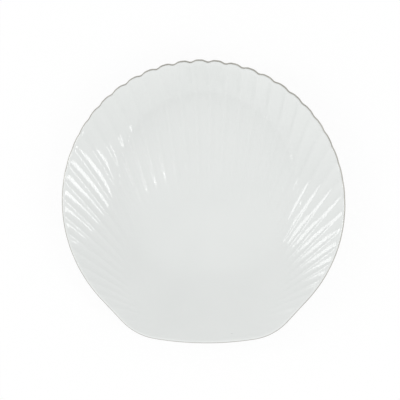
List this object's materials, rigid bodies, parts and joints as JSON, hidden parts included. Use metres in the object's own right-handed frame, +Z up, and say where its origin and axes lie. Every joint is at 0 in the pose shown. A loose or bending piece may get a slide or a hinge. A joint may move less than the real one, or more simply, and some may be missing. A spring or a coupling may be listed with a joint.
{
  "type": "serving plate",
  "caption": "Shallow shell-shaped serving plate of white opal glass, with a flat well, fluted walls that fan from a smooth hinge edge, a scalloped rim with a fine gilt line, and a foot ring.",
  "frame": {"origin": "middle of the foot ring, on the table plane", "axes": "+Z up, +Y toward the scalloped edge opposite the hinge edge, +X to the right as the picture shows the plate"},
  "size_m": [0.2502, 0.2495, 0.0288],
  "materials": {
    "opal_glass": "gloss",
    "gilt": "satin"
  },
  "bodies": {
    "root": {"opal_plate": "opal_glass", "gilt_line": "gilt"}
  },
  "joints": []
}
